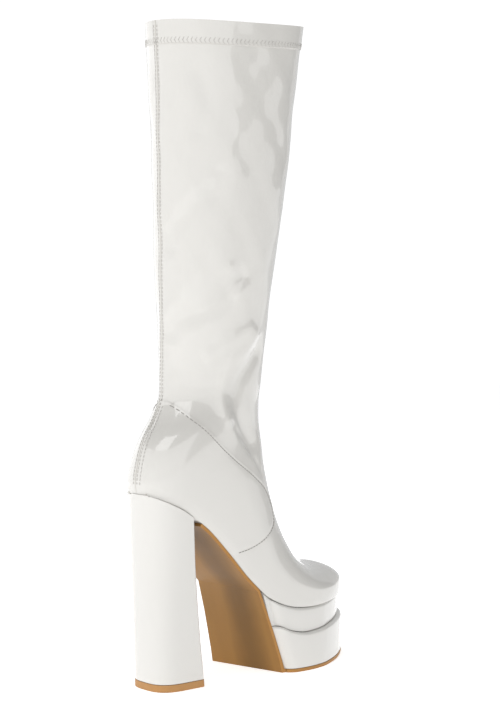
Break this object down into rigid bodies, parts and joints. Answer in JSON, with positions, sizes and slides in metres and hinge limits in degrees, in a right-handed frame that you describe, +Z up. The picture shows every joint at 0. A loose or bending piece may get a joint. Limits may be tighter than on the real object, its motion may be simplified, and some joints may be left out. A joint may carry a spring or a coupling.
{
  "type": "platform go-go boot",
  "caption": "Knee-high right boot with a slim shaft, double platform, tall block heel and a side zip with a turning pull tab.",
  "frame": {"origin": "on the floor, under the middle of the standing boot's bounding box", "axes": "+Z up the shaft, -Y towards the toe, -X towards the outer side of the foot"},
  "size_m": [0.1148, 0.2245, 0.5091],
  "materials": {
    "patent": "off-white stretch patent, high gloss",
    "patent_cover": "off-white patent cover over a moulded core, high gloss",
    "tan_sole": "tan sheet, satin",
    "tan_top_piece": "tan moulded, satin",
    "board": "plain lining cloth over board, matte",
    "zip_cloth": "woven off-white tape, matte",
    "zip_metal": "dark gunmetal, satin"
  },
  "bodies": {
    "boot": {"upper": "patent", "insole": "board", "outsole": "tan_sole", "platform_top_tier": "patent_cover", "platform_bottom_tier": "patent_cover", "heel": "patent_cover", "top_piece": "tan_top_piece", "zip_tape": "zip_cloth", "zip_slider": "zip_metal"},
    "pull": {"zip_pull": "zip_metal"}
  },
  "joints": [
    {"name": "pull_turn", "type": "hinge", "parent": "boot", "child": "pull", "pos_m": [0.0476, 0.0412, 0.488], "axis": [0, -1, 0], "range_deg": [0, 150]}
  ]
}
